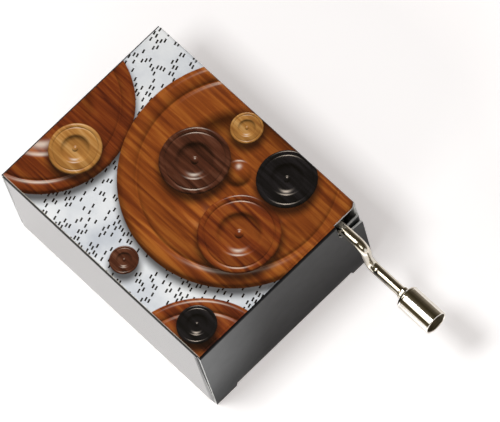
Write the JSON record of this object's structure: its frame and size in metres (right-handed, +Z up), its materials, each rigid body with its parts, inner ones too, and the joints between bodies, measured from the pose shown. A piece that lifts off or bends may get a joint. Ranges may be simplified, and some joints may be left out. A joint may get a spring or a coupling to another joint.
{
  "type": "hand-cranked music box",
  "caption": "Small cardboard music box: tuck-end carton holding a pinned-cylinder comb movement, turned by a bent wire crank with a spinning knob.",
  "frame": {"origin": "centre of the carton's underside", "axes": "+X out of the end that the crank comes out of, +Z up, +Y to the side of the carton that the crank stands nearer to"},
  "size_m": [0.0932, 0.05, 0.03],
  "materials": {
    "black_board": "gloss laminated paperboard",
    "nickel": "bright nickel plate",
    "steel": "ground",
    "spring_steel": "blued",
    "brass": "satin",
    "acetal": "moulded",
    "zinc": "die-cast",
    "fibreboard": "raw"
  },
  "bodies": {
    "carton": {"carton_tube": "black_board", "mounting_board": "fibreboard", "bedplate": "zinc", "crank_bracket": "steel", "comb": "steel", "left_bush": "brass", "right_bush": "brass", "comb_screw_1": "nickel", "comb_screw_2": "nickel", "bracket_screw_1": "nickel", "bracket_screw_2": "nickel", "board_screw_1": "nickel", "board_screw_2": "nickel", "board_screw_3": "nickel"},
    "crank": {"crank_rod": "nickel", "worm": "brass", "rod_clip": "spring_steel", "knob_clip": "nickel"},
    "knob": {"knob": "nickel"},
    "cylinder": {"pinned_cylinder": "brass", "cylinder_cap": "acetal", "worm_wheel": "acetal", "arbor": "steel"},
    "front_closure": {"front_closure": "black_board"},
    "front_tuck_flap": {"front_tuck_flap": "black_board"},
    "front_dust_flap_left": {"front_dust_flap_left": "black_board"},
    "front_dust_flap_right": {"front_dust_flap_right": "black_board"},
    "rear_closure": {"rear_closure": "black_board"},
    "rear_tuck_flap": {"rear_tuck_flap": "black_board"},
    "rear_dust_flap_left": {"rear_dust_flap_left": "black_board"},
    "rear_dust_flap_right": {"rear_dust_flap_right": "black_board"}
  },
  "joints": [
    {"name": "crank_turn", "type": "hinge", "parent": "carton", "child": "crank", "pos_m": [0, 0.0195, 0.0258], "axis": [1, 0, 0], "continuous": true},
    {"name": "cylinder_turn", "type": "hinge", "parent": "carton", "child": "cylinder", "pos_m": [0.014, 0, 0.0168], "axis": [0, 1, 0], "continuous": true},
    {"name": "knob_spin", "type": "hinge", "parent": "crank", "child": "knob", "pos_m": [0.051, 0.0195, 0.0176], "axis": [1, 0, 0], "continuous": true},
    {"name": "front_closure_hinge", "type": "hinge", "parent": "carton", "child": "front_closure", "pos_m": [0.03225, 0, 0.02975], "axis": [0, -1, 0], "range_deg": [0, 26]},
    {"name": "front_tuck_hinge", "type": "hinge", "parent": "front_closure", "child": "front_tuck_flap", "pos_m": [0.032, 0, 0.0013], "axis": [0, -1, 0], "range_deg": [-26, 0]},
    {"name": "front_dust_flap_left_hinge", "type": "hinge", "parent": "carton", "child": "front_dust_flap_left", "pos_m": [0.03145, -0.02475, 0], "axis": [0, 0, -1], "range_deg": [0, 6.5]},
    {"name": "front_dust_flap_right_hinge", "type": "hinge", "parent": "carton", "child": "front_dust_flap_right", "pos_m": [0.03145, 0.02475, 0], "axis": [0, 0, 1], "range_deg": [0, 6.5]},
    {"name": "rear_closure_hinge", "type": "hinge", "parent": "carton", "child": "rear_closure", "pos_m": [-0.03225, 0, 0.02975], "axis": [0, 1, 0], "range_deg": [0, 75]},
    {"name": "rear_tuck_hinge", "type": "hinge", "parent": "rear_closure", "child": "rear_tuck_flap", "pos_m": [-0.032, 0, 0.0013], "axis": [0, 1, 0], "range_deg": [-75, 0]},
    {"name": "rear_dust_flap_left_hinge", "type": "hinge", "parent": "carton", "child": "rear_dust_flap_left", "pos_m": [-0.03145, -0.02475, 0], "axis": [0, 0, 1], "range_deg": [0, 18.75]},
    {"name": "rear_dust_flap_right_hinge", "type": "hinge", "parent": "carton", "child": "rear_dust_flap_right", "pos_m": [-0.03145, 0.02475, 0], "axis": [0, 0, -1], "range_deg": [0, 18.75]}
  ],
  "couplings": [
    {"joint": "cylinder_turn", "follows": "crank_turn", "ratio": -0.05},
    {"joint": "front_tuck_hinge", "follows": "front_closure_hinge", "ratio": -1},
    {"joint": "front_dust_flap_left_hinge", "follows": "front_closure_hinge", "ratio": 0.25},
    {"joint": "front_dust_flap_right_hinge", "follows": "front_closure_hinge", "ratio": 0.25},
    {"joint": "rear_tuck_hinge", "follows": "rear_closure_hinge", "ratio": -1},
    {"joint": "rear_dust_flap_left_hinge", "follows": "rear_closure_hinge", "ratio": 0.25},
    {"joint": "rear_dust_flap_right_hinge", "follows": "rear_closure_hinge", "ratio": 0.25}
  ]
}
